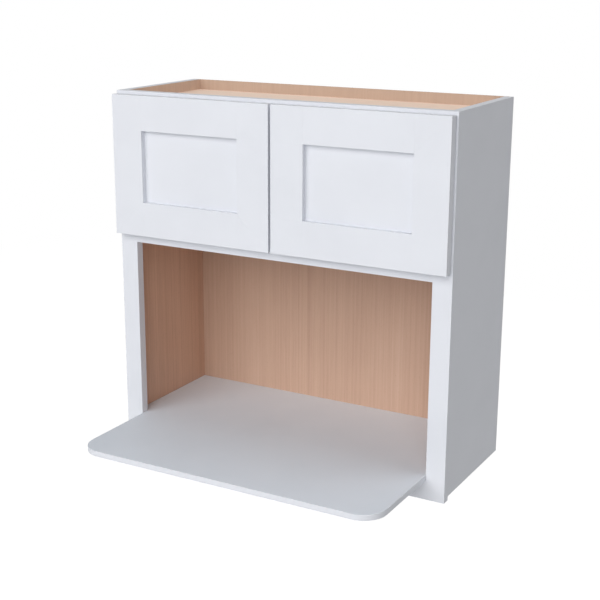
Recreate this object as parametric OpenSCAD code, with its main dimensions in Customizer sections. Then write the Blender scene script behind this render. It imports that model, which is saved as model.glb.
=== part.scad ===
// Wall cabinet for a microwave oven: a framed case with a pair of framed doors
// over an open bay, and a shelf with rounded corners that reaches out of the bay.
//
// Millimetres. X runs to the right, Y back into the wall and Z up. The origin is
// on the wall plane, at the middle of the case's bottom edge.

/* [Case] */
// Overall width, across the outer faces of the sides
cab_w = 762; // [610:1:1067]
// Overall height, from the foot of the face frame to the top of the case
cab_h = 762; // [720:1:1067]
// Depth, from the front of the face frame to the wall
cab_d = 288; // [240:1:400]
// Thickness of each side
side_t = 18; // [15:0.5:22]
// Thickness of the top, the compartment floor and the bottom
board_t = 12; // [9:0.5:14.5]
// Depth of the grooves in the sides that hold those boards
dado_d = 6; // [4:0.5:8]
// Thickness of the back
back_t = 3.2; // [2.6:0.1:6]
// Width of the step in each side that holds the back
rebate_w = 9; // [7:0.5:12]
// How far the top board lies below the top of the case
top_recess = 22; // [18:0.5:27]
// Space left for glue at the end of every tongue, dowel and board
glue_gap = 0.3; // [0.1:0.1:0.6]
// Radial clearance of whatever sits in a drilled hole
hole_fit = 0.1; // [0.05:0.05:0.2]

/* [Face frame] */
// Thickness of the face frame
frame_t = 19; // [16:0.5:23]
// Width of the two stiles
stile_w = 40; // [33:1:50]
// Height of the three rails
rail_h = 40; // [34:1:48]
// How far the face frame hangs below the sides
frame_drop = 8.5; // [0:0.5:12]
// Height of the bay's opening, from the bottom rail to the middle rail
bay_h = 402; // [335:1:430]
// Thickness of the tongue on the front edge of each side
tongue_t = 6; // [4:0.5:8]
// Length of the tongues that enter the back of the face frame
tongue_l = 5; // [4:0.5:6]
// Radius of the dowels in the face frame's corners
frame_dowel_r = 3; // [2.5:0.5:3.5]
// Length of those dowels
frame_dowel_l = 30; // [20:1:36]
// Distance between the two dowels in one rail end
frame_dowel_step = 20; // [14:1:24]

/* [Shelf] */
// Thickness of the shelf
shelf_t = 12; // [10:0.5:19]
// How far the shelf reaches in front of the face frame
shelf_reach = 227; // [150:1:300]
// Radius of the shelf's two front corners
shelf_r = 50; // [10:1:100]
// Gap between the shelf and what stands around it
shelf_gap = 0.3; // [0.1:0.1:1]
// Shank radius of the screws that hold the shelf from below
shelf_screw_r = 1.5; // [1.2:0.1:2]
// Length of those screws
shelf_screw_l = 18; // [15:1:20]
// Distance of the outer shelf screws from the sides
shelf_screw_inset = 60; // [40:1:120]

/* [Wall fixing] */
// Thickness of the two hanging rails
hang_t = 19; // [16:0.5:23]
// Height of the upper hanging rail
hang_h = 89; // [60:1:110]
// Radius of the holes for the wall screws
wall_hole_r = 2.5; // [2:0.25:3.5]
// Distance between the wall screws, which is the spacing of the wall's studs
wall_hole_step = 406.4; // [300:0.1:500]
// Radius of the dowels that pin the hanging rails to the sides
hang_dowel_r = 4; // [3:0.5:4.5]
// Length of those dowels
hang_dowel_l = 30; // [24:1:40]
// How deep those dowels enter each side
hang_dowel_in = 11; // [8:0.5:12]
// Shank radius of the nails in the back
nail_r = 0.6; // [0.5:0.1:0.9]
// Length of the nails
nail_l = 16; // [12:1:20]
// Radius of the nail heads
nail_head_r = 1.6; // [1.2:0.1:2]

/* [Doors] */
// Thickness of the doors
door_t = 20; // [18.5:0.5:24]
// Width of the stiles and rails of a door
door_rail_w = 72; // [60:1:86]
// How far the panel lies behind the front of its door
door_recess = 12; // [9:0.5:12.5]
// Thickness of the door panel
panel_t = 5.5; // [4.5:0.5:6.5]
// Depth of the groove that holds the panel
groove_d = 9; // [7:0.5:11]
// Play of the panel in its groove
panel_play = 0.5; // [0.2:0.1:2]
// Gap between the two closed doors
door_gap = 5; // [3:0.5:8]
// Face frame left showing beside each door
side_reveal = 3.6; // [2:0.1:6]
// Face frame left showing above the doors
top_reveal = 6; // [3:0.5:12]
// How far the doors cover the middle rail
door_lap = 20; // [14:1:28]
// Gap between the closed doors and the face frame
door_off = 2.5; // [2.5:0.1:4]
// Bevel on the door's rear edge beside the hinges, which swings past the frame
door_bevel = 1.5; // [1.5:0.1:3]
// Radius of the bumpers on the back of a door
bumper_r = 4.75; // [3:0.25:5]
// Gap between the bumpers and the face frame
bumper_gap = 0.3; // [0.1:0.1:0.6]
// Distance of a bumper from the edges of its door
bumper_inset = 10; // [6:0.5:14]

/* [Hinges] */
// Distance from the end of a door to the middle of its hinge
hinge_inset = 66; // [55:1:90]
// Radius of the hinge cup
cup_r = 17.5; // [17:0.1:17.6]
// Depth of the hinge cup
cup_depth = 12.9; // [12.6:0.1:13.5]
// Sheet thickness of the cup
cup_wall = 0.8; // [0.6:0.1:0.9]
// Wood left between the cup and the edge of the door
cup_tab = 3; // [3:0.1:5]
// Distance between the two screws of a cup
cup_screw_step = 45; // [42:0.5:52]
// How far those screws lie from the middle of the cup
cup_screw_shift = 9.5; // [5:0.5:10]
// Radius of the flange round each of those screws
ear_r = 6; // [4:0.5:7]
// Distance of the hinge pin from the edge of the door
pin_edge = 7.5; // [7.5:0.1:9.5]
// Distance of the hinge pin from the back of the door
pin_depth = 9.5; // [9.3:0.1:9.7]
// Radius of the hinge pin
pin_r = 1.25; // [1:0.05:1.4]
// Length of the hinge pin
pin_l = 16.6; // [14:0.1:16.8]
// Radial clearance of the hinge pin
pin_fit = 0.05; // [0.02:0.01:0.1]
// Radius of the eye that turns on the pin
eye_r = 2.4; // [2:0.05:2.4]
// Sheet thickness of the arm
arm_t = 1.5; // [1.2:0.1:1.6]
// Width of the arm
arm_w = 10; // [8:0.5:10]
// Distance from the pin to the arm's bend out of the cup
neck_u = 12.5; // [12.2:0.1:16]
// How far the arm runs below the pin on its way through the cup
arm_dip = 1.2; // [0.9:0.1:1.5]
// Height of the plate that is screwed to the stile
plate_h = 34; // [28:1:40]
// Distance between the two screws of that plate
plate_screw_step = 20; // [16:1:26]
// Shank radius of the hinge screws
hinge_screw_r = 1.7; // [1.4:0.1:2]
// Length of the screws in the stile
stile_screw_l = 22; // [16:1:26]
// Length of the screws in the door
door_screw_l = 12; // [10:0.5:15]

/* [Hidden] */
$fn = 96;
LEFT = -1;
RIGHT = 1;
// How far a cut runs past the face it opens
cut = 1;

// Colours of the paint, the veneer, the plain wood, the metal and the rubber
paint = [0.91, 0.92, 0.94];
veneer = [0.78, 0.62, 0.50];
birch = [0.90, 0.82, 0.70];
steel = [0.72, 0.73, 0.75];
rubber = [0.85, 0.87, 0.88];

// The case, from the middle outwards
outer_x = cab_w / 2;
inner_x = outer_x - side_t;
open_x = outer_x - stile_w;

// The case, from the wall forwards
front_y = -cab_d;
frame_back_y = front_y + frame_t;
frame_mid_y = front_y + frame_t / 2;
hang_y = -back_t - hang_t;

// The case, from the foot of the face frame upwards
foot_z = -frame_drop;
top_z = cab_h - frame_drop;
bay_z0 = foot_z + rail_h;
bay_z1 = bay_z0 + bay_h;
floor_z = bay_z1 + rail_h;
top_rail_z = top_z - rail_h;
board_tops = [bay_z0, floor_z, top_z - top_recess];
rail_feet = [foot_z, bay_z1, top_rail_z];

// Hanging rails: foot and top of the lower one and of the upper one
hang_under = board_tops[2] - board_t;
hang_low = [0, bay_z0 - board_t];
hang_high = [hang_under - hang_h, hang_under];
wall_hole_zs = [hang_low[1] / 2, (hang_high[0] + hang_high[1]) / 2];
// Dowels in the ends of the hanging rails: one low down and two in the upper rail
hang_dowel_zs = [wall_hole_zs[0], hang_high[0] + hang_h / 4, hang_high[1] - hang_h / 4];
hang_dowel_y = hang_y + hang_t / 2;

// Nails in the back: rows beside the bay and the compartment, and one row a board
nail_x = inner_x + rebate_w / 2;
nail_margin = 30;
bay_nails = spread(bay_z0 + nail_margin, bay_z1 - nail_margin, 4);
door_nails = spread(floor_z + nail_margin, hang_high[0] - nail_margin, 2);
board_nails = spread(-inner_x + 2 * nail_margin, inner_x - 2 * nail_margin, 5);
nail_head_t = 0.5;

// Shelf screws, in two rows
shelf_screw_xs = spread(-inner_x + shelf_screw_inset, inner_x - shelf_screw_inset, 3);
shelf_screw_ys = [-shelf_screw_inset, frame_back_y + shelf_screw_inset];

// Doors
door_x = [door_gap / 2, outer_x - side_reveal];
door_back_y = front_y - door_off;
door_front_y = door_back_y - door_t;
door_z = [floor_z - door_lap, top_z - top_reveal];
panel_y = [door_front_y + door_recess, door_front_y + door_recess + panel_t];
panel_x = [door_x[0] + door_rail_w, door_x[1] - door_rail_w];
panel_z = [door_z[0] + door_rail_w, door_z[1] - door_rail_w];
panel_hold = groove_d - panel_play;

// Hinges, measured from the middle of the pin: u towards the middle of the
// cabinet, v towards the wall
hinge_zs = [door_z[0] + hinge_inset, door_z[1] - hinge_inset];
hinge_x = door_x[1] - pin_edge;
hinge_y = door_back_y - pin_depth;
cup_u = cup_tab + cup_r - pin_edge;
frame_v = pin_depth + door_off;
stile_u = hinge_x - open_x;
cup_floor_v = pin_depth - cup_depth + cup_wall;
cup_inside_r = cup_r - hole_fit - cup_wall;
flange_t = 1;
plate_d = frame_t - 1;
lug_gap = 0.5;
screw_head_h = 1.6;
flat_head_h = 0.9;
screw_head_r = 3.5;

// ---------------------------------------------------------------- helpers

// n places spread evenly from a to b
function spread(a, b, n) = [for (i = [0 : n - 1]) a + (b - a) * i / (n - 1)];

// A block given by where it starts and ends along each axis
module block(x, y, z) {
    translate([x[0], y[0], z[0]])
        cube([x[1] - x[0], y[1] - y[0], z[1] - z[0]]);
}

// What is drawn for the right-hand side, on either side
module on_side(side) {
    mirror([side == LEFT ? 1 : 0, 0, 0])
        children();
}

// A rod of length l that runs from a point towards the front
module rod_forward(r, l) {
    rotate([90, 0, 0])
        cylinder(r = r, h = l);
}

// A wood screw that stands on its head and points up
module screw(shank_r, shank_l, head_r, head_h) {
    translate([0, 0, -head_h])
        cylinder(r = head_r, h = head_h);
    cylinder(r = shank_r, h = shank_l);
}

// Children at every hinge of the right-hand door, with the origin on its pin
module at_hinges() {
    for (z = hinge_zs)
        translate([hinge_x, hinge_y, z])
            children();
}

// ------------------------------------------------------- nails and dowels

// Every nail of the back, or with room to spare the hole that it makes
module nails(room = 0) {
    for (z = concat(bay_nails, door_nails), side = [LEFT, RIGHT])
        translate([side * nail_x, 0, z])
            nail(room);
    for (top = board_tops, x = board_nails)
        translate([x, 0, top - board_t / 2])
            nail(room);
}

module nail(room) {
    rod_forward(nail_r + room, nail_l + room);
    translate([0, room > 0 ? cut : 0, 0])
        rod_forward(nail_head_r + room, nail_head_t + (room > 0 ? cut : 0));
}

// Dowels between the rails and the stiles of the face frame, or their holes
module frame_pegs(room = 0, gap = 0) {
    for (foot = rail_feet, step = [-0.5, 0.5], side = [LEFT, RIGHT])
        translate([side * open_x, frame_mid_y, foot + rail_h / 2 + step * frame_dowel_step])
            rotate([0, 90, 0])
                cylinder(r = frame_dowel_r + room, h = frame_dowel_l + 2 * gap, center = true);
}

// Dowels between the hanging rails and the sides, or their holes
module hang_pegs(room = 0, gap = 0) {
    for (z = hang_dowel_zs, side = [LEFT, RIGHT])
        on_side(side)
            translate([inner_x + hang_dowel_in + gap, hang_dowel_y, z])
                rotate([0, -90, 0])
                    cylinder(r = hang_dowel_r + room, h = hang_dowel_l + 2 * gap);
}

// Holes for the screws that hold the cabinet to the wall
module wall_holes() {
    for (x = [-0.5, 0.5] * wall_hole_step, z = wall_hole_zs)
        translate([x, cut, z])
            rod_forward(wall_hole_r, back_t + hang_t + 2 * cut);
}

// ------------------------------------------------------------------- case

// A side: grooved for the boards, stepped for the back, tongued into the frame
module side_panel() {
    tongue_x = inner_x + (side_t - tongue_t) / 2;
    difference() {
        block([inner_x, outer_x], [frame_back_y, 0], [0, top_z]);
        for (top = board_tops)
            block([inner_x - cut, inner_x + dado_d], [frame_back_y - cut, cut],
                [top - board_t, top]);
        block([inner_x - cut, inner_x + rebate_w], [-back_t, cut], [-cut, top_z + cut]);
        hang_pegs(hole_fit, glue_gap);
        nails(hole_fit);
    }
    block([tongue_x, tongue_x + tongue_t], [frame_back_y - tongue_l, frame_back_y],
        [0, top_z]);
}

module side_panel_left() {
    color(paint) on_side(LEFT) side_panel();
}

module side_panel_right() {
    color(paint) side_panel();
}

// A board between the sides, with a tongue that enters a rail of the face frame
module board(top) {
    half = inner_x + dado_d - glue_gap;
    z = [top - board_t, top];
    difference() {
        union() {
            block([-half, half], [frame_back_y, -back_t], z);
            block([-open_x, open_x], [frame_back_y - tongue_l, frame_back_y], z);
        }
        nails(hole_fit);
    }
}

module top_panel() {
    color(veneer) board(board_tops[2]);
}

module compartment_floor() {
    color(veneer) board(board_tops[1]);
}

module bottom_panel() {
    color(veneer)
        difference() {
            board(board_tops[0]);
            shelf_screw_row(hole_fit, cut);
        }
}

// The back, let into the sides and nailed to them and to the boards
module back_panel() {
    half = inner_x + rebate_w - glue_gap;
    color(veneer)
        difference() {
            block([-half, half], [-back_t, 0], [0, top_z]);
            wall_holes();
            nails(hole_fit);
        }
}

module back_nails() {
    color(steel) nails();
}

// A rail against the back that takes the wall screws
module hanging_rail(z) {
    color(birch)
        difference() {
            block([-inner_x, inner_x], [hang_y, -back_t], z);
            wall_holes();
            hang_pegs(hole_fit, glue_gap);
        }
}

module upper_hanging_rail() {
    hanging_rail(hang_high);
}

module lower_hanging_rail() {
    hanging_rail(hang_low);
}

module rail_dowels() {
    color(birch) hang_pegs();
}

// ------------------------------------------------------------- face frame

// A stile: grooved for the side's tongue, drilled for dowels and hinge screws
module frame_stile() {
    groove_x = inner_x + (side_t - tongue_t) / 2;
    difference() {
        block([open_x, outer_x], [front_y, frame_back_y], [foot_z, top_z]);
        block([groove_x, groove_x + tongue_t],
            [frame_back_y - tongue_l - glue_gap, frame_back_y + cut], [0, top_z + cut]);
        frame_pegs(hole_fit, glue_gap);
        at_hinges()
            stile_screws(hole_fit);
    }
}

module frame_stile_left() {
    color(paint) on_side(LEFT) frame_stile();
}

module frame_stile_right() {
    color(paint) frame_stile();
}

// A rail, with the groove for its board; an open groove runs out at the top
module frame_rail(foot, top, open) {
    color(paint)
        difference() {
            block([-open_x, open_x], [front_y, frame_back_y], [foot, foot + rail_h]);
            block([-open_x - cut, open_x + cut],
                [frame_back_y - tongue_l - glue_gap, frame_back_y + cut],
                [top - board_t, top + (open ? cut : 0)]);
            frame_pegs(hole_fit, glue_gap);
        }
}

module frame_top_rail() {
    frame_rail(rail_feet[2], board_tops[2], false);
}

module frame_middle_rail() {
    frame_rail(rail_feet[1], board_tops[1], true);
}

module frame_bottom_rail() {
    frame_rail(rail_feet[0], board_tops[0], true);
}

module frame_dowels() {
    color(birch) frame_pegs();
}

// ------------------------------------------------------------------ shelf

// The shelf: notched round the stiles, wide in the bay, round at the front
module microwave_shelf() {
    nose_y = front_y - shelf_reach;
    half = open_x - shelf_gap;
    tail = inner_x - shelf_gap;
    color(paint)
        difference() {
            translate([0, 0, bay_z0])
                linear_extrude(shelf_t) {
                    translate([-tail, frame_back_y + shelf_gap])
                        square([2 * tail, cab_d - frame_t - back_t - 2 * shelf_gap]);
                    translate([-half, nose_y + shelf_r])
                        square([2 * half, shelf_reach - shelf_r + frame_t + 2 * shelf_gap]);
                    translate([-half + shelf_r, nose_y])
                        square([2 * (half - shelf_r), 2 * shelf_r]);
                    for (side = [LEFT, RIGHT])
                        translate([side * (half - shelf_r), nose_y + shelf_r])
                            circle(r = shelf_r);
                }
            shelf_screw_row(hole_fit, 0);
        }
}

// The screws from the bottom board up into the shelf, or their holes, which
// run out by the given length below the board
module shelf_screw_row(room = 0, run_out = 0) {
    sink = screw_head_h + room;
    for (x = shelf_screw_xs, y = shelf_screw_ys)
        translate([x, y, board_tops[0] - board_t]) {
            cylinder(r = shelf_screw_r + room, h = shelf_screw_l + room);
            translate([0, 0, -run_out])
                cylinder(r = screw_head_r + room, h = sink + run_out);
        }
}

module shelf_screws() {
    color(steel) shelf_screw_row();
}

// ------------------------------------------------------------------ doors

// The groove that holds the panel, along the inside of a door's frame
module panel_groove() {
    block([panel_x[0] - groove_d, panel_x[1] + groove_d], panel_y,
        [panel_z[0] - groove_d, panel_z[1] + groove_d]);
}

// The groove along a stile, which also takes the tenons of the rails
module stile_groove() {
    block([panel_x[0] - groove_d, panel_x[1] + groove_d], panel_y,
        [door_z[0] - cut, door_z[1] + cut]);
}

// The stile that carries the hinges
module door_outer_stile() {
    difference() {
        block([panel_x[1], door_x[1]], [door_front_y, door_back_y], door_z);
        stile_groove();
        translate([door_x[1], door_back_y, (door_z[0] + door_z[1]) / 2])
            rotate([0, 0, 45])
                cube([door_bevel * sqrt(2), door_bevel * sqrt(2), 2 * cab_h], center = true);
        at_hinges() {
            translate([-cup_u, pin_depth + cut, 0])
                rod_forward(cup_r, cup_depth + hole_fit + cut);
            cup_screws(hole_fit);
        }
    }
}

// The stile at the middle of the cabinet
module door_inner_stile() {
    difference() {
        block([door_x[0], panel_x[0]], [door_front_y, door_back_y], door_z);
        stile_groove();
    }
}

// A rail between the stiles, with a short tenon at each end
module door_rail(z) {
    tenon = groove_d - glue_gap;
    difference() {
        union() {
            block(panel_x, [door_front_y, door_back_y], z);
            block([panel_x[0] - tenon, panel_x[1] + tenon], panel_y, z);
        }
        panel_groove();
    }
}

module door_top_rail() {
    door_rail([panel_z[1], door_z[1]]);
}

module door_bottom_rail() {
    door_rail([door_z[0], panel_z[0]]);
}

// The flat panel, loose in the groove round it
module door_panel() {
    block([panel_x[0] - panel_hold, panel_x[1] + panel_hold], panel_y,
        [panel_z[0] - panel_hold, panel_z[1] + panel_hold]);
}

// The bumpers at the free edge, which meet the face frame
module door_bumpers() {
    bumper_t = door_off - bumper_gap;
    for (z = [door_z[0] + bumper_inset, door_z[1] - bumper_inset])
        translate([door_x[0] + bumper_inset, door_back_y + bumper_t, z])
            rod_forward(bumper_r, bumper_t);
}

module door_outer_stile_left() {
    color(paint) on_side(LEFT) door_outer_stile();
}

module door_outer_stile_right() {
    color(paint) door_outer_stile();
}

module door_inner_stile_left() {
    color(paint) on_side(LEFT) door_inner_stile();
}

module door_inner_stile_right() {
    color(paint) door_inner_stile();
}

module door_top_rail_left() {
    color(paint) on_side(LEFT) door_top_rail();
}

module door_top_rail_right() {
    color(paint) door_top_rail();
}

module door_bottom_rail_left() {
    color(paint) on_side(LEFT) door_bottom_rail();
}

module door_bottom_rail_right() {
    color(paint) door_bottom_rail();
}

module door_panel_left() {
    color(paint) on_side(LEFT) door_panel();
}

module door_panel_right() {
    color(paint) door_panel();
}

module door_bumpers_left() {
    color(rubber) on_side(LEFT) door_bumpers();
}

module door_bumpers_right() {
    color(rubber) door_bumpers();
}

// ----------------------------------------------------------------- hinges

// The cup: a pressed bowl with an ear for each screw and two lugs for the pin
module hinge_cup() {
    outside_r = cup_r - hole_fit;
    ear_u = cup_u + cup_screw_shift;
    difference() {
        union() {
            difference() {
                union() {
                    translate([-cup_u, pin_depth, 0])
                        rod_forward(outside_r, cup_depth);
                    for (side = [-1, 1])
                        translate([-ear_u, pin_depth + flange_t, side * cup_screw_step / 2])
                            rod_forward(ear_r, flange_t);
                    block([-ear_u - ear_r, -ear_u + ear_r], [pin_depth, pin_depth + flange_t],
                        [-cup_screw_step / 2, cup_screw_step / 2]);
                }
                translate([-cup_u, pin_depth + flange_t + cut, 0])
                    rod_forward(cup_inside_r, cup_depth - cup_wall + flange_t + cut);
                block([-ear_u - ear_r - cut, -ear_u + ear_r + cut],
                    [pin_depth, pin_depth + flange_t + cut],
                    [-arm_w / 2 - lug_gap, arm_w / 2 + lug_gap]);
            }
            intersection() {
                for (side = [-1, 1])
                    pin_lug(side);
                translate([-cup_u, pin_depth, 0])
                    rod_forward(outside_r, cup_depth);
            }
        }
        cylinder(r = pin_r + pin_fit, h = 2 * cup_r, center = true);
        cup_screws(hole_fit);
    }
}

// The block of metal on the cup's floor that holds one end of the pin
module pin_lug(side) {
    near = arm_w / 2 + lug_gap;
    far = pin_l / 2;
    block([-eye_r, eye_r], [cup_floor_v, eye_r], side > 0 ? [near, far] : [-far, -near]);
}

module hinge_pin() {
    cylinder(r = pin_r, h = pin_l, center = true);
}

// The screws that hold the cup, or their holes
module cup_screws(room = 0) {
    for (side = [-1, 1])
        translate([-cup_u - cup_screw_shift, pin_depth + flange_t, side * cup_screw_step / 2])
            rotate([90, 0, 0])
                screw(hinge_screw_r + room, door_screw_l + room, screw_head_r, flat_head_h);
}

// The arm: an eye on the pin, a neck out of the cup and a plate on the stile
module hinge_arm() {
    half = arm_t / 2;
    z = [-arm_w / 2, arm_w / 2];
    plate_u = [-stile_u - arm_t, -stile_u];
    difference() {
        union() {
            cylinder(r = eye_r, h = arm_w, center = true);
            block([-neck_u - half, 0], [-arm_dip - half, -arm_dip + half], z);
            block([-neck_u - half, -neck_u + half], [-arm_dip - half, frame_v], z);
            block([-stile_u - arm_t, -neck_u + half], [frame_v - arm_t, frame_v], z);
            block(plate_u, [frame_v - arm_t, frame_v], z);
            block(plate_u, [frame_v, frame_v + plate_d], [-plate_h / 2, plate_h / 2]);
        }
        cylinder(r = pin_r + pin_fit, h = arm_w + 2 * cut, center = true);
        stile_screws(hole_fit);
    }
}

// The screws that hold the arm to the stile, or their holes
module stile_screws(room = 0) {
    for (side = [-1, 1])
        translate([-stile_u - arm_t, frame_v + frame_t / 2, side * plate_screw_step / 2])
            rotate([0, 90, 0])
                screw(hinge_screw_r + room, stile_screw_l + room, screw_head_r, screw_head_h);
}

module hinge_cups_left() {
    color(steel) on_side(LEFT) at_hinges() hinge_cup();
}

module hinge_cups_right() {
    color(steel) at_hinges() hinge_cup();
}

module hinge_pins_left() {
    color(steel) on_side(LEFT) at_hinges() hinge_pin();
}

module hinge_pins_right() {
    color(steel) at_hinges() hinge_pin();
}

module hinge_cup_screws_left() {
    color(steel) on_side(LEFT) at_hinges() cup_screws();
}

module hinge_cup_screws_right() {
    color(steel) at_hinges() cup_screws();
}

module hinge_arms_left() {
    color(steel) on_side(LEFT) at_hinges() hinge_arm();
}

module hinge_arms_right() {
    color(steel) at_hinges() hinge_arm();
}

module hinge_arm_screws_left() {
    color(steel) on_side(LEFT) at_hinges() stile_screws();
}

module hinge_arm_screws_right() {
    color(steel) at_hinges() stile_screws();
}

// ---------------------------------------------------------------- drawing

side_panel_left();
side_panel_right();
frame_stile_left();
frame_stile_right();
frame_top_rail();
frame_middle_rail();
frame_bottom_rail();
frame_dowels();
top_panel();
compartment_floor();
bottom_panel();
microwave_shelf();
shelf_screws();
back_panel();
back_nails();
upper_hanging_rail();
lower_hanging_rail();
rail_dowels();
hinge_arms_left();
hinge_arms_right();
hinge_arm_screws_left();
hinge_arm_screws_right();
door_outer_stile_left();
door_outer_stile_right();
door_inner_stile_left();
door_inner_stile_right();
door_top_rail_left();
door_top_rail_right();
door_bottom_rail_left();
door_bottom_rail_right();
door_panel_left();
door_panel_right();
hinge_cups_left();
hinge_cups_right();
hinge_pins_left();
hinge_pins_right();
hinge_cup_screws_left();
hinge_cup_screws_right();
door_bumpers_left();
door_bumpers_right();
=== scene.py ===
from math import cos, pi, radians, sin

import bmesh
import bpy
from mathutils import Matrix, Vector


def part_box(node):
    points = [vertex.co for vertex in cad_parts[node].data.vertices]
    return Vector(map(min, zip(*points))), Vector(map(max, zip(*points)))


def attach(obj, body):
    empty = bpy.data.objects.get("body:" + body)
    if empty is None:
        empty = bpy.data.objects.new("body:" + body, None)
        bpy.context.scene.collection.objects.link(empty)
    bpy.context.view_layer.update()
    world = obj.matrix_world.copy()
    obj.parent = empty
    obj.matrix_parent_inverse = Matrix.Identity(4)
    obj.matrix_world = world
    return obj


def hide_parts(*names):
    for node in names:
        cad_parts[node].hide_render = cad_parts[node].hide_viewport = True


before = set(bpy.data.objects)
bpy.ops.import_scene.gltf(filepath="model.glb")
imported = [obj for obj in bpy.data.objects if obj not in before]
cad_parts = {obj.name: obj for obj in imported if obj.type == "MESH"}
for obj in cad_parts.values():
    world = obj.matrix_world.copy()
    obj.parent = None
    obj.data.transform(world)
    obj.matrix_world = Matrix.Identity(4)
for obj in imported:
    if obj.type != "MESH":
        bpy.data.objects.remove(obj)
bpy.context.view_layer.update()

# Sides
# Two 18 mm plywood panels, sprayed white outside and faced with maple inside. Three grooves take the boards,
# a step takes the back, and a tongue on the front edge is glued into the face frame.

SIDES = (("left", -1), ("right", 1))
X = Vector((1, 0, 0))
Y = Vector((0, 1, 0))
Z = Vector((0, 0, 1))


class Wire:
    """A value, colour or vector on its way through a finish. Arithmetic on it adds Math nodes."""

    def __init__(self, tree, socket):
        self.tree = tree
        self.socket = socket

    def node(self, kind, settings, sockets, output=0):
        made = self.tree.nodes.new("ShaderNode" + kind)
        for name, value in settings.items():
            if name == "stops":
                ramp = made.color_ramp.elements
                ramp.remove(ramp[1])
                ramp[0].position, ramp[0].color = value[0][0], (*value[0][1], 1)
                for place, colour in value[1:]:
                    ramp.new(place).color = (*colour, 1)
            else:
                setattr(made, name, value)
        for name, value in sockets.items():
            if isinstance(value, Wire):
                self.tree.links.new(value.socket, made.inputs[name])
            else:
                made.inputs[name].default_value = value
        return Wire(self.tree, made.outputs[output])

    def math(self, operation, first, second):
        return self.node("Math", {"operation": operation}, {0: first, 1: second})

    def __add__(self, other):
        return self.math("ADD", self, other)

    __radd__ = __add__

    def __mul__(self, other):
        return self.math("MULTIPLY", self, other)

    __rmul__ = __mul__

    def __sub__(self, other):
        return self.math("SUBTRACT", self, other)

    def __rsub__(self, other):
        return self.math("SUBTRACT", other, self)

    def sine(self):
        return self.node("Math", {"operation": "SINE"}, {0: self})

    def along(self, axis):
        return self.node("SeparateXYZ", {}, {"Vector": self}, axis)

    def noise(self, scale, detail=2.0, stretch=(1, 1, 1)):
        turned = self.node("Mapping", {}, {"Vector": self, "Scale": stretch})
        return self.node("TexNoise", {}, {"Vector": turned, "Scale": scale, "Detail": detail})

    def fade(self, start, end):
        settings = {"interpolation_type": "SMOOTHSTEP"}
        return self.node("MapRange", settings, {"Value": self, "From Min": start, "From Max": end})

    def colours(self, *stops):
        return self.node("ValToRGB", {"stops": stops}, {"Fac": self})

    def tint(self, amount, colour):
        return self.node("Mix", {"data_type": "RGBA"}, {0: amount, 6: self, 7: colour}, 2)

    def bump(self, distance, strength):
        return self.node("Bump", {}, {"Height": self, "Distance": distance, "Strength": strength})


def new_finish(name, **fixed):
    """An empty finish: its material, its shader and the wire of its Object coordinates."""
    material = bpy.data.materials.new(name)
    material.use_nodes = True
    tree = material.node_tree
    shader = tree.nodes["Principled BSDF"]
    for socket, value in fixed.items():
        shader.inputs[socket.replace("_", " ")].default_value = value
    return material, shader, Wire(tree, tree.nodes.new("ShaderNodeTexCoord").outputs["Object"])


def feed(shader, **wires):
    """Leads wires into a shader's sockets."""
    for socket, wire in wires.items():
        wire.tree.links.new(wire.socket, shader.inputs[socket.replace("_", " ")])


DUST_GREY = (0.60, 0.60, 0.60, 1)


def paint(name, shade, white, edge):
    """Satin white lacquer: fine orange peel, slow clouds in its sheen, edges that hands have polished."""
    finish, shader, place = new_finish(name, Specular_IOR_Level=0.12)
    clouds = place.noise(9, 3)
    peel = place.noise(650)
    dust = place.noise(2600, 1).fade(0.70, 0.78)
    eased = place.node("Attribute", {"attribute_name": "eased"}, {}, 2)
    rubbed = eased * place.noise(35, 3).fade(0.42, 0.62)
    body = clouds.colours((0.30, shade), (0.62, white))
    feed(
        shader,
        Base_Color=body.tint(rubbed * 0.6, (*edge, 1)).tint(dust * 0.12, DUST_GREY),
        Roughness=clouds * 0.10 + peel * 0.08 + 0.40 - rubbed * 0.12,
        Normal=(peel + place.noise(160, 1) * 1.5 + dust * 0.6).bump(0.00006, 0.35),
    )
    return finish


satin_paint = paint("satin_paint", (0.745, 0.763, 0.812), (0.765, 0.783, 0.832), (0.800, 0.812, 0.842))


def wood_grain(place, along, tones, pore):
    """The colour, sheen and relief of a wood whose grain runs along one axis."""
    def stretch(length):
        return tuple(1 / length if axis == along else 1 for axis in (X, Y, Z))

    figure = place.noise(11, 2, stretch(7))
    streaks = place.noise(210, 3, stretch(240))
    fibres = place.noise(1100, 2, stretch(60))
    pores = place.noise(1500, 1, stretch(9)).fade(0.66, 0.74)
    tone = figure * 0.30 + streaks * 0.42 + fibres * 0.28
    colour = tone.colours(*zip((0.30, 0.44, 0.55, 0.70), tones)).tint(pores * 0.35, pore)
    return colour, fibres * 0.16 + pores * 0.15, fibres * 0.7 + streaks * 0.6 - pores * 0.8


def above_top(place):
    """One above the top board, where the wood's colour stands in for light: painted lighter on the sides,
    painted shade on the back.
    """
    board_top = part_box("top_panel")[1].z
    return place.along(2).fade(board_top, board_top + 0.001)


# Clear-coated maple veneer, its tones lifted and reddened above the back's: painted bounce light on the inner
# faces of the sides
MAPLE_WITH_PAINTED_BOUNCE = ((0.494, 0.295, 0.201), (0.606, 0.379, 0.269), (0.675, 0.433, 0.312), (0.753, 0.506, 0.379))
MAPLE_PORE = (0.36, 0.20, 0.13, 1)
SIDE_PAINTED_LIGHT = (0.70, 0.59, 0.50, 1)
maple_upright, shader, place = new_finish("maple_upright", Specular_IOR_Level=0.35, Coat_Weight=0.06)
colour, sheen, relief = wood_grain(place, Z, MAPLE_WITH_PAINTED_BOUNCE, MAPLE_PORE)
feed(
    shader,
    # Above the top board the sides are painted paler and greyer: painted light on wood that stands in shade
    Base_Color=colour.tint(above_top(place) * 0.5, SIDE_PAINTED_LIGHT),
    Roughness=sheen + 0.40,
    Normal=relief.bump(0.00008, 0.5),
)

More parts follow.
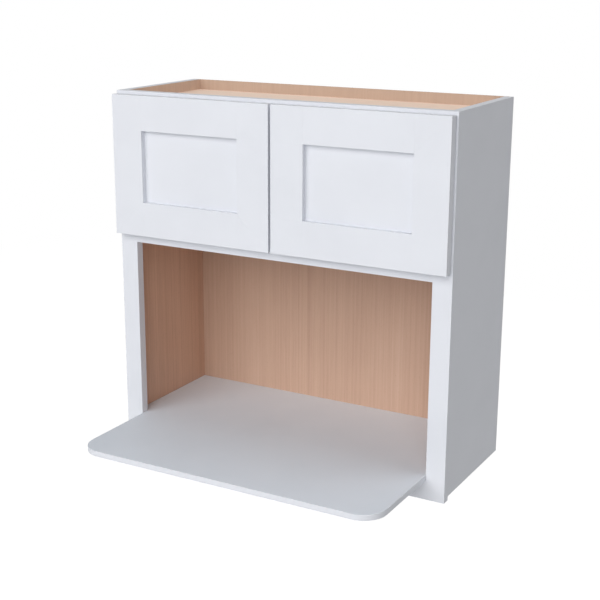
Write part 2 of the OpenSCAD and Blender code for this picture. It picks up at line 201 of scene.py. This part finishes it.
# The raw plywood edge: thin plies of alternate grain with glue between them
PLY = 0.0014
PLY_DARK = (0.330, 0.225, 0.140)
PLY_MID = (0.560, 0.425, 0.290)
PLY_PALE = (0.700, 0.560, 0.400)
ply_edge, shader, place = new_finish("ply_edge", Specular_IOR_Level=0.2)
plies = ((place.along(0) + place.noise(18) * 0.001) * (pi / PLY)).sine()
grit = place.noise(900, 3)
tone = plies.fade(-0.5, 0.5) * 0.5 + grit * 0.5
feed(
    shader,
    Base_Color=tone.colours((0.15, PLY_DARK), (0.45, PLY_MID), (0.80, PLY_PALE)),
    Roughness=grit * 0.2 + 0.62,
    Normal=(plies * 0.2 + grit).bump(0.0002, 0.6),
)


def section(axis, at, low, high):
    """A flat face square to an axis, from which a piece is pushed out."""
    bm = bmesh.new()
    across = [k for k in range(3) if not axis[k]]
    ring = []
    for corner in ((low, low), (high, low), (high, high), (low, high)):
        point = axis * at
        for k, end in zip(across, corner):
            point[k] = end[k]
        ring.append(bm.verts.new(point))
    bm.faces.new(ring)
    return bm


def saw(bm, axis, *places):
    """Cuts every face along planes square to an axis."""
    for at in places:
        everything = bm.verts[:] + bm.edges[:] + bm.faces[:]
        bmesh.ops.bisect_plane(bm, geom=everything, dist=1e-5, plane_co=axis * at, plane_no=axis)


def plane_off(bm, spared=()):
    """Takes out the saw lines that are left on flat faces, but for those that are spared."""
    lines = [edge for edge in bm.edges if edge not in spared]
    bmesh.ops.dissolve_limit(bm, angle_limit=radians(1), verts=bm.verts[:], edges=lines)


def cells(bm, test):
    """The faces whose middles pass a test."""
    return [face for face in bm.faces if test(face.calc_center_median())]


def drop(bm, test):
    """Takes away the faces whose middles pass a test."""
    bmesh.ops.delete(bm, geom=cells(bm, test), context="FACES")


def shift_new(bm, out, step):
    """Moves what an extrusion has just made."""
    verts = [v for v in out["geom"] if isinstance(v, bmesh.types.BMVert)]
    bmesh.ops.translate(bm, verts=verts, vec=step)


def push(bm, faces, step):
    """Extrudes faces by a step."""
    whole = dict.fromkeys(part for face in faces for part in (face, *face.edges, *face.verts))
    shift_new(bm, bmesh.ops.extrude_face_region(bm, geom=list(whole)), step)


def near(a, b):
    return abs(a - b) < 2e-5


def round_edges(bm, edges, radius, segments):
    """Rounds edges, and gives back the faces of the round."""
    return bmesh.ops.bevel(
        bm, geom=edges, offset=radius, offset_type="OFFSET", affect="EDGES", segments=segments,
        profile=0.5, material=-1,
    )["faces"]


def ease(bm, width, test, segments=3):
    """Rounds the square outer edges whose middles pass a test, and marks them for the finish."""
    eased = bm.faces.layers.float.get("eased") or bm.faces.layers.float.new("eased")
    bm.normal_update()
    square = [edge for edge in bm.edges if edge.is_convex and edge.calc_face_angle() > 1.2]
    chosen = [edge for edge in square if test((edge.verts[0].co + edge.verts[1].co) / 2)]
    for face in round_edges(bm, chosen, width, segments):
        face[eased] = 1.0


def mirrored(bm):
    """The left-hand twin of a right-hand piece, in place."""
    bmesh.ops.scale(bm, vec=(-1, 1, 1), verts=bm.verts[:])


def make(name, bm, body, finishes, slot, *nodes, facing=None):
    """Turns a bmesh into a finished piece that rides on a body and stands for its CAD nodes."""
    bmesh.ops.recalc_face_normals(bm, faces=bm.faces[:])
    bm.normal_update()
    if facing:
        for face in bm.faces:
            face.material_index = facing(face.normal)
    mesh = bpy.data.meshes.new(name)
    bm.to_mesh(mesh)
    bm.free()
    for finish in finishes:
        mesh.materials.append(finish)
    mesh.shade_smooth()
    mesh.set_sharp_from_angle(angle=radians(40))
    piece = bpy.data.objects.new(name, mesh)
    bpy.context.scene.collection.objects.link(piece)
    level = piece.modifiers.new("level faces", "WEIGHTED_NORMAL")
    level.keep_sharp = True
    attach(piece, body)
    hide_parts(*nodes)


DADO = 0.006
REBATE = 0.009
TONGUE = 0.006
EASED = 0.0005
boards = [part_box(name) for name in ("bottom_panel", "compartment_floor", "top_panel")]
back_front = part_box("back_panel")[0].y
frame_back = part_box("frame_stile_right")[1].y
low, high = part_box("side_panel_right")
side_foot = low.z
groove = ((low.x + high.x - TONGUE) / 2, (low.x + high.x + TONGUE) / 2)


def in_dado(at):
    return at.x < low.x + DADO and any(foot.z < at.z < head.z for foot, head in boards)


def beside_rebate(at):
    return near(at.y, back_front) and at.x > low.x + REBATE


def on_tongue(at):
    return near(at.y, frame_back) and groove[0] < at.x < groove[1]


def side_rims(at):
    outside = near(at.x, high.x) and not near(at.y, frame_back)
    inner_top = near(at.x, low.x) and near(at.z, high.z)
    return outside or inner_top


for side, hand in SIDES:
    bm = section(Y, frame_back, low, high)
    saw(bm, X, low.x + DADO, low.x + REBATE, *groove)
    saw(bm, Z, *[corner.z for board in boards for corner in board])
    drop(bm, in_dado)
    push(bm, bm.faces[:], Y * (back_front - frame_back))
    push(bm, cells(bm, beside_rebate), Y * -back_front)
    push(bm, cells(bm, on_tongue), Y * (low.y - frame_back))
    plane_off(bm)
    ease(bm, EASED, side_rims)
    if hand < 0:
        mirrored(bm)
    make(
        "painted_side_" + side, bm, "case", [satin_paint, maple_upright, ply_edge], "white_paint",
        "side_panel_" + side,
        facing=lambda out: 1 if out.x * hand < -0.9 else 2 if out.y > 0.9 or out.z < -0.9 else 0,
    )

# Top, compartment floor and bottom
# Three 12 mm plywood boards, glued into the grooves of the sides with their grain running across. The top one
# is never seen once the cabinet hangs, so it keeps its paler unstained face and gathers a film of dust. Its
# tones are painted paler still, a painted reflection standing in for the bright sheen on it.

BARE_WITH_PAINTED_REFLECTION = ((0.90, 0.62, 0.43), (0.95, 0.665, 0.48), (0.975, 0.70, 0.515), (0.98, 0.75, 0.57))
BARE_PORE = (0.55, 0.40, 0.28, 1)


def keep(finish, *names):
    """Gives the CAD solids of these nodes a finish."""
    for name in names:
        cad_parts[name].material_slots[0].material = finish


# The boards take the same lifted maple tones, painted bounce light included
maple_across, shader, place = new_finish("maple_across", Specular_IOR_Level=0.35, Coat_Weight=0.06)
colour, sheen, relief = wood_grain(place, X, MAPLE_WITH_PAINTED_BOUNCE, MAPLE_PORE)
feed(shader, Base_Color=colour, Roughness=sheen + 0.40, Normal=relief.bump(0.00008, 0.5))
keep(maple_across, "compartment_floor", "bottom_panel")

bare_maple_with_painted_reflection, shader, place = new_finish(
    "bare_maple_with_painted_reflection", Specular_IOR_Level=0.5, Sheen_Weight=0.5, Sheen_Roughness=0.4
)
colour, sheen, relief = wood_grain(place, X, BARE_WITH_PAINTED_REFLECTION, BARE_PORE)
feed(shader, Base_Color=colour, Roughness=sheen + 0.34, Normal=relief.bump(0.00008, 0.4))
keep(bare_maple_with_painted_reflection, "top_panel")

# Back and its nails
# A 3.2 mm sheet of maple-faced plywood, let into the sides and nailed to them and to the boards. The face to
# the wall is left raw. The nails are zinc plated with flat heads.

BACK_MAPLE = ((0.485, 0.311, 0.225), (0.543, 0.357, 0.264), (0.580, 0.388, 0.289), (0.621, 0.428, 0.328))
BACK_PAINTED_SHADE = (0.44, 0.356, 0.285, 1)
RAW = ((0.42, 0.30, 0.19), (0.53, 0.40, 0.26), (0.60, 0.47, 0.32), (0.66, 0.53, 0.38))
RAW_PORE = (0.30, 0.20, 0.12, 1)
RAW_FROM = -0.0012
RAW_FULL = -0.0008
back_faces, shader, place = new_finish("back_faces", Specular_IOR_Level=0.3)
colour, sheen, relief = wood_grain(place, Z, BACK_MAPLE, MAPLE_PORE)
raw_colour, raw_sheen, raw_relief = wood_grain(place, Z, RAW, RAW_PORE)
rear = place.along(1).fade(RAW_FROM, RAW_FULL)
feed(
    shader,
    # Above the top board the back is painted darker and less red: painted shade against the light bounced off
    # the top board
    Base_Color=colour.tint(above_top(place) * 0.5, BACK_PAINTED_SHADE).tint(rear, raw_colour),
    Roughness=sheen + rear * 0.22 + 0.40,
    Normal=(relief + rear * raw_relief * 3).bump(0.00008, 0.5),
)
keep(back_faces, "back_panel")

ZINC = (0.58, 0.60, 0.62)
ZINC_DULL = (0.47, 0.48, 0.49)
zinc_steel, shader, place = new_finish("zinc_steel", Metallic=1.0)
spangle = place.noise(420, 3)
scuffs = place.noise(2200, 2, (1, 1, 0.06)).fade(0.58, 0.70)
feed(
    shader,
    Base_Color=spangle.colours((0.35, ZINC_DULL), (0.62, ZINC)),
    Roughness=spangle * 0.20 + scuffs * 0.16 + 0.18,
    Normal=(spangle * 0.5 + scuffs).bump(0.00003, 0.4),
)
keep(zinc_steel, "back_nails")

# Hanging rails and dowels
# Two rails of plain poplar against the back take the wall screws. Beech dowels pin them to the sides, and
# more dowels sit in the corners of the face frame.

POPLAR = ((0.55, 0.44, 0.29), (0.66, 0.54, 0.37), (0.72, 0.60, 0.43), (0.78, 0.67, 0.50))
POPLAR_PORE = (0.40, 0.30, 0.18, 1)
plain_wood, shader, place = new_finish("plain_wood", Specular_IOR_Level=0.25)
colour, sheen, relief = wood_grain(place, X, POPLAR, POPLAR_PORE)
feed(shader, Base_Color=colour, Roughness=sheen + 0.55, Normal=relief.bump(0.00015, 0.6))
keep(plain_wood, "upper_hanging_rail", "lower_hanging_rail", "rail_dowels", "frame_dowels")

# Face frame
# Solid maple stiles and rails, dowelled together and sprayed with the sides. A groove in the back of each
# takes the tongue of a side or the edge of a board, and the joints show as hairlines.

JOINT = 0.00016
FRAME_GROOVE = 0.0053
rails = {name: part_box("frame_" + name) for name in ("bottom_rail", "middle_rail", "top_rail")}
low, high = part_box("frame_stile_right")
groove_front = high.y - FRAME_GROOVE


def beside_tongue(at):
    in_groove = at.y > groove_front and groove[0] < at.x < groove[1]
    return near(at.z, side_foot) and not in_groove


def beside_rail(at):
    return any(foot.z < at.z < head.z for foot, head in rails.values())


def stile_rims(at):
    front = near(at.y, low.y) and not near(at.x, low.x)
    outside = near(at.x, high.x) and not near(at.y, high.y)
    inside = near(at.x, low.x) and not beside_rail(at)
    return front or outside or inside and (near(at.y, low.y) or near(at.y, high.y))


for side, hand in SIDES:
    bm = section(Z, side_foot, low, high)
    saw(bm, X, *groove)
    saw(bm, Y, groove_front)
    push(bm, bm.faces[:], Z * (low.z - side_foot))
    push(bm, cells(bm, beside_tongue), Z * (high.z - side_foot))
    plane_off(bm)
    saw(bm, Z, *[corner.z for rail in rails.values() for corner in rail if low.z < corner.z < high.z])
    ease(bm, EASED, stile_rims)
    if hand < 0:
        mirrored(bm)
    make("stile_" + side, bm, "case", [satin_paint], "white_paint", "frame_stile_" + side)


def rail_rims(at):
    on_groove = bottom.z - 1e-4 < at.z < top.z + 1e-4
    return near(at.x, 0) and (near(at.y, low.y) or near(at.y, high.y) and not on_groove)


for (name, (low, high)), (bottom, top) in zip(rails.items(), boards):
    bm = section(X, low.x, low, high)
    saw(bm, Y, groove_front)
    saw(bm, Z, bottom.z, top.z)
    drop(bm, lambda at: at.y > groove_front and bottom.z < at.z < top.z)
    push(bm, bm.faces[:], X * (high.x - low.x))
    plane_off(bm)
    ease(bm, EASED, rail_rims)
    ease(bm, JOINT, lambda at: near(abs(at.x), high.x), 1)
    make(name, bm, "case", [satin_paint], "white_paint", "frame_" + name)

# Microwave shelf and its screws
# One 12 mm board, notched round the stiles and reaching well out in front, with round corners and a small
# round on its edges. Six screws come up through the bottom board to hold it.

SHELF_CORNER = 0.050
NOTCH_X = 0.3407
NOTCH_Y = -0.2687
SHELF_EASED = 0.0006
# The shelf's top faces take a bluer white than the rest of the paint: a painted tint that cancels the warm
# light bounced onto them from the maple
shelf_top_tinted_against_bounce = paint("shelf_top_tinted_against_bounce", (0.730, 0.787, 0.858), (0.750, 0.807, 0.878), (0.780, 0.825, 0.872))


def round_corners(bm, test, radius, segments):
    """Rounds the corners of a flat outline that pass a test."""
    corners = [v for v in bm.verts if test(v.co)]
    bmesh.ops.bevel(
        bm, geom=corners, offset=radius, affect="VERTICES", segments=segments, profile=0.5, material=-1
    )


low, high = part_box("microwave_shelf")
bm = section(Z, low.z, low, high)
saw(bm, X, -NOTCH_X, NOTCH_X)
saw(bm, Y, NOTCH_Y)
drop(bm, lambda at: at.y < NOTCH_Y and abs(at.x) > NOTCH_X)
plane_off(bm)
round_corners(bm, lambda at: near(at.y, low.y), SHELF_CORNER, 20)
push(bm, bm.faces[:], Z * (high.z - low.z))
ease(bm, SHELF_EASED, lambda at: (near(at.z, low.z) or near(at.z, high.z)) and at.y < NOTCH_Y - 1e-4)
make(
    "shelf", bm, "case", [satin_paint, shelf_top_tinted_against_bounce], "white_paint", "microwave_shelf",
    facing=lambda out: 1 if out.z > 0.9 else 0,
)

SHELF_SCREW = {"shank": 0.0015, "length": 0.0164, "head": 0.0035, "height": 0.0016}
SHELF_SCREW_XS = (-0.303, 0, 0.303)
SHELF_SCREW_YS = (-0.209, -0.060)
DOWN = Matrix.Rotation(pi, 4, "X")


def turned(profile, steps, ring=False):
    """A part turned on the Z axis from a line of (radius, height) points, which is closed for a ring."""
    bm = bmesh.new()
    line = [bm.verts.new((radius, 0, height)) for radius, height in profile]
    pairs = zip(line, line[1:] + line[:1]) if ring else zip(line, line[1:])
    geom = line + [bm.edges.new(pair) for pair in pairs]
    bmesh.ops.spin(bm, geom=geom, cent=(0, 0, 0), axis=Z, angle=2 * pi, steps=steps, use_merge=True)
    bmesh.ops.remove_doubles(bm, verts=bm.verts[:], dist=1e-6)
    bmesh.ops.recalc_face_normals(bm, faces=bm.faces[:])
    return bm


def cross_head_screw(shank, length, head, height):
    """A wood screw with its head up the Z axis, a cross recess in it and a pointed shank."""
    steps = 24
    bm = turned(
        [
            (0, height), (0.22 * head, height), (0.60 * head, 0.98 * height), (0.85 * head, 0.86 * height),
            (0.97 * head, 0.60 * height), (head, 0.30 * height), (0.95 * head, 0), (shank, 0),
            (shank, 2.2 * shank - length), (0, -length),
        ],
        steps,
    )

    def in_cross(at):
        turn = at.xy.angle_signed(X.xy) % (pi / 2)
        in_arm = min(turn, pi / 2 - turn) < pi / steps * 1.5
        reach = 0.5 * head if in_arm else 0.2 * head
        return at.z > 0.9 * height and at.xy.length < reach

    push(bm, cells(bm, in_cross), Z * -0.55 * height)
    return bm


def add(whole, part, *places):
    """Copies a part into a piece at every place given, and lets go of the part."""
    mould = bpy.data.meshes.new("mould")
    part.to_mesh(mould)
    part.free()
    for place in places:
        copy = mould.copy()
        copy.transform(place)
        whole.from_mesh(copy)
        bpy.data.meshes.remove(copy)
    bpy.data.meshes.remove(mould)


head_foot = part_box("shelf_screws")[0].z
seats = [(x, y, head_foot + SHELF_SCREW["height"]) for x in SHELF_SCREW_XS for y in SHELF_SCREW_YS]
bm = bmesh.new()
add(bm, cross_head_screw(**SHELF_SCREW), *[Matrix.Translation(seat) @ DOWN for seat in seats])
make("screws_under_shelf", bm, "case", [zinc_steel], "zinc_steel", "shelf_screws")

# Doors
# Two framed doors, 20 mm thick and sprayed all round. Stiles run full height, rails are tenoned between them,
# and a flat panel lies 12 mm back in the groove. The hinge edge has a bevel to swing past the face frame.

GROOVE = 0.009
HINGE_BEVEL = 0.0015
DOOR_EASED = 0.0006
CUP_BORE = 0.0175
CUP_DEPTH = 0.013
CUP_X = 0.3569
PLATE_HEIGHT = 0.034
low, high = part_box("hinge_arms_right")
HINGE_ZS = (low.z + PLATE_HEIGHT / 2, high.z - PLATE_HEIGHT / 2)
panel_front, panel_back = (corner.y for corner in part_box("door_panel_right"))
inner, outer, top, bottom = (
    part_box(f"door_{name}_right") for name in ("inner_stile", "outer_stile", "top_rail", "bottom_rail")
)
opening = (bottom[1].z, top[0].z)
rail_ends = (inner[1].x, outer[0].x)


def face_at(bm, centre):
    """The face whose middle is nearest to a point."""
    return min(bm.faces, key=lambda face: (face.calc_center_median() - centre).length)


def drill(bm, centres, out, radius, depth):
    """Bores round holes into the face that their centres lie on, against the way the face looks."""
    steps = 40
    across, up = [axis for axis in (X, Y, Z) if not axis.dot(out)]
    plane_off(bm)
    for centre in centres:
        for axis in (across, up):
            saw(bm, axis, centre.dot(axis) - radius, centre.dot(axis) + radius)
    for centre in centres:
        for step in range(steps):
            turn = 2 * pi * step / steps
            way = across * cos(turn) + up * sin(turn)
            disc = face_at(bm, centre)
            geom = [disc, *disc.edges, *disc.verts]
            bmesh.ops.bisect_plane(bm, geom=geom, dist=1e-5, plane_co=centre + way * radius, plane_no=way)
        push(bm, [face_at(bm, centre)], out * -depth)

    # A line above and below each hole stays, so that no face has a hole in it
    def beside_hole(at):
        past = [abs((at - centre).dot(up)) for centre in centres]
        return near((at - centres[0]).dot(out), 0) and any(near(reach, radius) for reach in past)

    plane_off(bm, {edge for edge in bm.edges if all(beside_hole(v.co) for v in edge.verts)})


def in_panel_groove(at):
    return panel_front < at.y < panel_back


def door_stile(low, high, rim, joint, hinged=False):
    """A stile between its outer rim and its joint with the rails, grooved for the panel."""
    def rims(at):
        outside = near(at.y, low.y) or near(at.y, high.y) or near(at.x, rim)
        return outside and (not near(at.x, joint) or opening[0] < at.z < opening[1])

    bm = section(Z, low.z, low, high)
    saw(bm, X, joint + (GROOVE if rim > joint else -GROOVE))
    saw(bm, Y, panel_front, panel_back)
    drop(bm, lambda at: in_panel_groove(at) and abs(at.x - joint) < GROOVE)
    push(bm, bm.faces[:], Z * (high.z - low.z))
    plane_off(bm)
    if hinged:
        ease(bm, HINGE_BEVEL, lambda at: near(at.x, rim) and near(at.y, high.y), 1)
    saw(bm, Z, *opening)
    ease(bm, DOOR_EASED, rims)
    if hinged:
        drill(bm, [Vector((CUP_X, high.y, z)) for z in HINGE_ZS], Y, CUP_BORE, CUP_DEPTH)
    return bm


def door_rail(low, high, rim, joint):
    """A rail between its outer rim and its joint with the panel, grooved and with a tenon at each end."""
    left, right = rail_ends
    lip = joint + (GROOVE if rim > joint else -GROOVE)

    def in_tenon(at):
        return in_panel_groove(at) and (at.z - lip) * (rim - lip) > 0

    bm = section(X, left, low, high)
    saw(bm, Y, panel_front, panel_back)
    saw(bm, Z, lip)
    drop(bm, lambda at: in_panel_groove(at) and abs(at.z - joint) < GROOVE)
    push(bm, bm.faces[:], X * (right - left))
    push(bm, cells(bm, lambda at: near(at.x, left) and in_tenon(at)), X * (low.x - left))
    push(bm, cells(bm, lambda at: near(at.x, right) and in_tenon(at)), X * (high.x - right))
    plane_off(bm)
    middle = (left + right) / 2
    ease(bm, DOOR_EASED, lambda at: near(at.x, middle) and (near(at.y, low.y) or near(at.y, high.y)))
    ease(bm, JOINT, lambda at: near(at.x, left) or near(at.x, right), 1)
    return bm


for side, hand in SIDES:
    door = "door_" + side
    parts = {
        "inner_stile": door_stile(*inner, inner[0].x, inner[1].x),
        "outer_stile": door_stile(*outer, outer[1].x, outer[0].x, hinged=True),
        "top_rail": door_rail(*top, top[1].z, top[0].z),
        "bottom_rail": door_rail(*bottom, bottom[0].z, bottom[1].z),
    }
    for name, bm in parts.items():
        if hand < 0:
            mirrored(bm)
        make(f"{door}_{name}", bm, door, [satin_paint], "white_paint", f"door_{name}_{side}")
    keep(satin_paint, "door_panel_" + side)

# Bumpers
# Soft clear domes that a door closes against, stuck to its back near the free edge.

BUMPER = 0.00475
BUMPER_HEIGHT = 0.0022
BUMPER_X = 0.0125
CLEAR = (0.80, 0.83, 0.84)
CLEAR_DULL = (0.70, 0.73, 0.74)
BACKWARDS = Matrix.Rotation(-pi / 2, 4, "X")
clear_rubber, shader, place = new_finish("clear_rubber", Transmission_Weight=0.45, IOR=1.45)
haze = place.noise(500, 3)
feed(
    shader,
    Base_Color=haze.colours((0.35, CLEAR_DULL), (0.60, CLEAR)),
    Roughness=haze * 0.25 + 0.12,
    Normal=haze.bump(0.00004, 0.3),
)
dome = [
    (BUMPER * across, BUMPER_HEIGHT * up)
    for across, up in ((0, 1), (0.45, 0.96), (0.75, 0.80), (0.93, 0.50), (1, 0.15), (1, 0), (0, 0))
]
door_back = inner[1].y
low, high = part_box("door_bumpers_right")
for side, hand in SIDES:
    bm = bmesh.new()
    seats = [(hand * BUMPER_X, door_back, z) for z in (low.z + BUMPER, high.z - BUMPER)]
    add(bm, turned(dome, 32), *[Matrix.Translation(seat) @ BACKWARDS for seat in seats])
    make("bumpers_" + side, bm, "door_" + side, [clear_rubber], "clear_rubber", "door_bumpers_" + side)

# Hinge cups and pins
# A pressed steel cup sits in each bore, held by two screws through its ears. Two lugs on its floor carry the
# pin that the door turns on. All hinge parts are drawn round the pin of a right-hand door.

PIN = Vector((0.3699, -0.3000, 0))
PIN_END = 0.0083
PIN_PROFILE = (
    (0, PIN_END), (0.0009, PIN_END), (0.00125, 0.0080), (0.00125, -0.0080), (0.0009, -PIN_END), (0, -PIN_END),
)
DOOR_BACK = 0.0095
CUP_MIDDLE = -0.0130
CUP_PROFILE = (
    (0, -0.0121), (0.0140, -0.0121), (0.0158, -0.0115), (0.0166, -0.0098), (0.0166, 0.0002), (0.0171, 0.0006),
    (0.0178, 0.0006), (0.0180, 0.0004), (0.0180, 0), (0.0174, 0), (0.0174, -0.0110), (0.0166, -0.0125),
    (0.0150, -0.0129), (0, -0.0129),
)
EAR = 0.0060
EAR_CORNER = 0.98 * EAR
EAR_X = -0.0225
EAR_Z = 0.0225
EAR_START = 0.0105
EAR_SHEET = 0.001
EAR_EASED = 0.0003
LUG = 0.0024
LUG_CORNER = 0.95 * LUG
LUG_ROOT = -0.0026
LUG_Z = 0.0055
CUP_SCREW = {"shank": 0.0017, "length": 0.012, "head": 0.0035, "height": 0.0009}


def flat_part(axis, at, low, high, test, radius, thickness):
    """A plate cut from sheet, with the corners that pass a test rounded."""
    bm = section(axis, at, Vector(low), Vector(high))
    round_corners(bm, test, radius, 8)
    push(bm, bm.faces[:], axis * thickness)
    return bm


def hinge_cup():
    """The cup with its two ears and the two lugs on its floor."""
    cup = bmesh.new()
    add(cup, turned(CUP_PROFILE, 48), Matrix.Translation((CUP_MIDDLE, DOOR_BACK, 0)) @ BACKWARDS)
    for end in (-1, 1):
        low_z, high_z = sorted((end * EAR_START, end * (EAR_Z + EAR)))
        ear = flat_part(
            Y, DOOR_BACK, (EAR_X - EAR, 0, low_z), (EAR_X + EAR, 0, high_z),
            lambda at: abs(at.z) > EAR_Z, EAR_CORNER, EAR_SHEET,
        )
        ease(ear, EAR_EASED, lambda at: near(at.y, DOOR_BACK + EAR_SHEET), 2)
        add(cup, ear, Matrix())
        lug = flat_part(
            Z, end * LUG_Z, (-LUG, LUG_ROOT, 0), (LUG, LUG, 0),
            lambda at: at.y > 0, LUG_CORNER, end * (PIN_END - LUG_Z),
        )
        add(cup, lug, Matrix())
    return cup


def make_hinge_part(name, side, hand, body, part, seats=(Matrix(),)):
    """Makes one piece of a part that both hinges of a door have, at each of its seats on a hinge."""
    mirror = Matrix.Scale(hand, 4, X)
    hinges = [mirror @ Matrix.Translation(PIN + Z * z) for z in HINGE_ZS]
    bm = bmesh.new()
    add(bm, part, *[hinge @ seat for hinge in hinges for seat in seats])
    make(f"{name}_{side}", bm, body, [zinc_steel], "zinc_steel", f"hinge_{name}_{side}")


seats = [Matrix.Translation((EAR_X, DOOR_BACK + EAR_SHEET, end * EAR_Z)) @ BACKWARDS for end in (-1, 1)]
for side, hand in SIDES:
    door = "door_" + side
    make_hinge_part("cups", side, hand, door, hinge_cup())
    make_hinge_part("pins", side, hand, door, turned(PIN_PROFILE, 20))
    make_hinge_part("cup_screws", side, hand, door, cross_head_screw(**CUP_SCREW), seats)

# Hinge arms
# A cranked steel strap turns on the pin, climbs out of the cup and runs behind the door to a plate on the
# inner edge of the stile, where two screws hold it.

STRAP = 0.0015
STRAP_WIDTH = 0.010
STRAP_EASED = 0.00025
PLATE_START = 0.0140
PLATE_CORNER = 0.004
PLATE_X = -0.0304
STRAP_PATH = (
    (0, -0.00195), (-0.01325, -0.00195), (-0.01325, 0.0105), (PLATE_X, 0.0105), (PLATE_X, PLATE_START),
    (PLATE_X, 0.030),
)
FOLD_RADII = {1: 0.0024, 2: 0.0009, 3: 0.0024}
KNUCKLE = (
    (0.0013, -0.005), (0.0022, -0.005), (0.0024, -0.0048), (0.0024, 0.0048), (0.0022, 0.005), (0.0013, 0.005),
)
PLATE_SCREW = {"shank": 0.0017, "length": 0.022, "head": 0.0035, "height": 0.0016}
PLATE_SCREW_Y = 0.0215
PLATE_SCREW_Z = 0.010
INWARDS = Matrix.Rotation(-pi / 2, 4, "Y")


def draw_out(bm, edges, step):
    """Widens a sheet from its open edges."""
    shift_new(bm, bmesh.ops.extrude_edge_only(bm, edges=edges), step)


def edges_on(bm, test):
    """The edges whose two ends both pass a test."""
    return [edge for edge in bm.edges if all(test(v.co) for v in edge.verts)]


def hinge_arm():
    """The strap with its plate, drawn flat, widened, rounded, folded and thickened, and its knuckle."""
    strap = bmesh.new()
    line = [strap.verts.new((x, y, -STRAP_WIDTH / 2)) for x, y in STRAP_PATH]
    draw_out(strap, [strap.edges.new(pair) for pair in zip(line, line[1:])], Z * STRAP_WIDTH)
    for end in (-1, 1):
        rim = edges_on(strap, lambda at: near(at.z, end * STRAP_WIDTH / 2) and at.y > PLATE_START - 1e-5)
        draw_out(strap, rim, Z * end * (PLATE_HEIGHT - STRAP_WIDTH) / 2)
    round_corners(strap, lambda at: near(abs(at.z), PLATE_HEIGHT / 2), PLATE_CORNER, 6)
    for fold, radius in FOLD_RADII.items():
        corner = Vector(STRAP_PATH[fold])
        round_edges(strap, edges_on(strap, lambda at: (at.xy - corner).length < 1e-5), radius, 5)
    bmesh.ops.recalc_face_normals(strap, faces=strap.faces[:])
    bmesh.ops.solidify(strap, geom=strap.faces[:], thickness=STRAP)
    ease(strap, STRAP_EASED, lambda at: True, 2)
    arm = bmesh.new()
    add(arm, strap, Matrix())
    add(arm, turned(KNUCKLE, 24, ring=True), Matrix())
    return arm


seats = [Matrix.Translation((PLATE_X, PLATE_SCREW_Y, end * PLATE_SCREW_Z)) @ INWARDS for end in (-1, 1)]
for side, hand in SIDES:
    make_hinge_part("arms", side, hand, "case", hinge_arm())
    make_hinge_part("arm_screws", side, hand, "case", cross_head_screw(**PLATE_SCREW), seats)

# Room
# The cabinet hangs at its usual height over a pale floor, in an even white room. One wide soft lamp stands in
# front of it, a little above, and a smaller one to its right, higher up.

FLOOR_Z = -1.372
FLOOR_REACH = 6
FLOOR_GREY = (0.80, 0.80, 0.80, 1)
FLOOR_GLOW = 1.75
WHITE = (1, 1, 1, 1)
ROOM_LIGHT = 0.15
ROOM_SHEEN = 0.75
CABINET_MIDDLE = Vector((0, -0.25, 0.38))
LAMP_AWAY = 8
LAMPS = (
    # name, watts, turn to the right, rise, width, height
    ("front_lamp", 662, -2, 27, 10.5, 6.5),
    ("side_lamp", 146, 103, 55, 5, 5),
)


def seen_by(wire, ray):
    """One where a surface is met by such a ray."""
    return wire.node("LightPath", {}, {}, f"Is {ray} Ray")


# The glow whitens the floor for the eye and in reflections, and leaves its shadow and bounce alone
paper, shader, place = new_finish("pale_floor", Roughness=0.9)
shader.inputs["Base Color"].default_value = FLOOR_GREY
glow = place.node("Emission", {}, {"Color": WHITE, "Strength": FLOOR_GLOW})
seen = seen_by(place, "Camera") + seen_by(place, "Glossy") + seen_by(place, "Transmission")
lit = place.node("MixShader", {}, {0: seen * 0.5, 1: Wire(place.tree, shader.outputs[0]), 2: glow})
place.tree.links.new(lit.socket, place.tree.nodes["Material Output"].inputs["Surface"])
bm = bmesh.new()
bmesh.ops.create_grid(bm, x_segments=1, y_segments=1, size=FLOOR_REACH)
bmesh.ops.translate(bm, verts=bm.verts[:], vec=Z * FLOOR_Z)
mesh = bpy.data.meshes.new("floor")
bm.to_mesh(mesh)
bm.free()
mesh.materials.append(paper)
floor = bpy.data.objects.new("floor", mesh)
bpy.context.scene.collection.objects.link(floor)

world = bpy.data.worlds.new("room")
bpy.context.scene.world = world
world.use_nodes = True
background = world.node_tree.nodes["Background"]
background.inputs["Color"].default_value = WHITE
room = Wire(world.node_tree, None)
seen = seen_by(room, "Camera") * (1 - ROOM_LIGHT)
shone = (seen_by(room, "Glossy") + seen_by(room, "Transmission")) * (ROOM_SHEEN - ROOM_LIGHT)
strength = seen + shone + ROOM_LIGHT
world.node_tree.links.new(strength.socket, background.inputs["Strength"])

for name, watts, turn, rise, width, height in LAMPS:
    lamp = bpy.data.lights.new(name, "AREA")
    lamp.shape = "RECTANGLE"
    lamp.size = width
    lamp.size_y = height
    lamp.energy = watts
    stand = bpy.data.objects.new(name, lamp)
    bpy.context.scene.collection.objects.link(stand)
    stand.rotation_euler = (pi / 2 - radians(rise), 0, radians(turn))
    stand.location = CABINET_MIDDLE + stand.rotation_euler.to_matrix() @ Z * LAMP_AWAY
    stand.visible_camera = False

# Camera
# Where the photograph was taken from, a little above the cabinet and well to its right.

camera = bpy.data.objects.new("camera", bpy.data.cameras.new("camera"))
bpy.context.scene.collection.objects.link(camera)
camera.location = (1.19119, -2.33539, 1.01231)
camera.rotation_euler = (radians(74.419), 0, radians(29.935))
camera.data.sensor_width = 36
camera.data.lens = 72.915
camera.data.shift_x = 0.0331
bpy.context.scene.camera = camera
bpy.context.scene.view_settings.view_transform = "Standard"

bpy.context.view_layer.update()
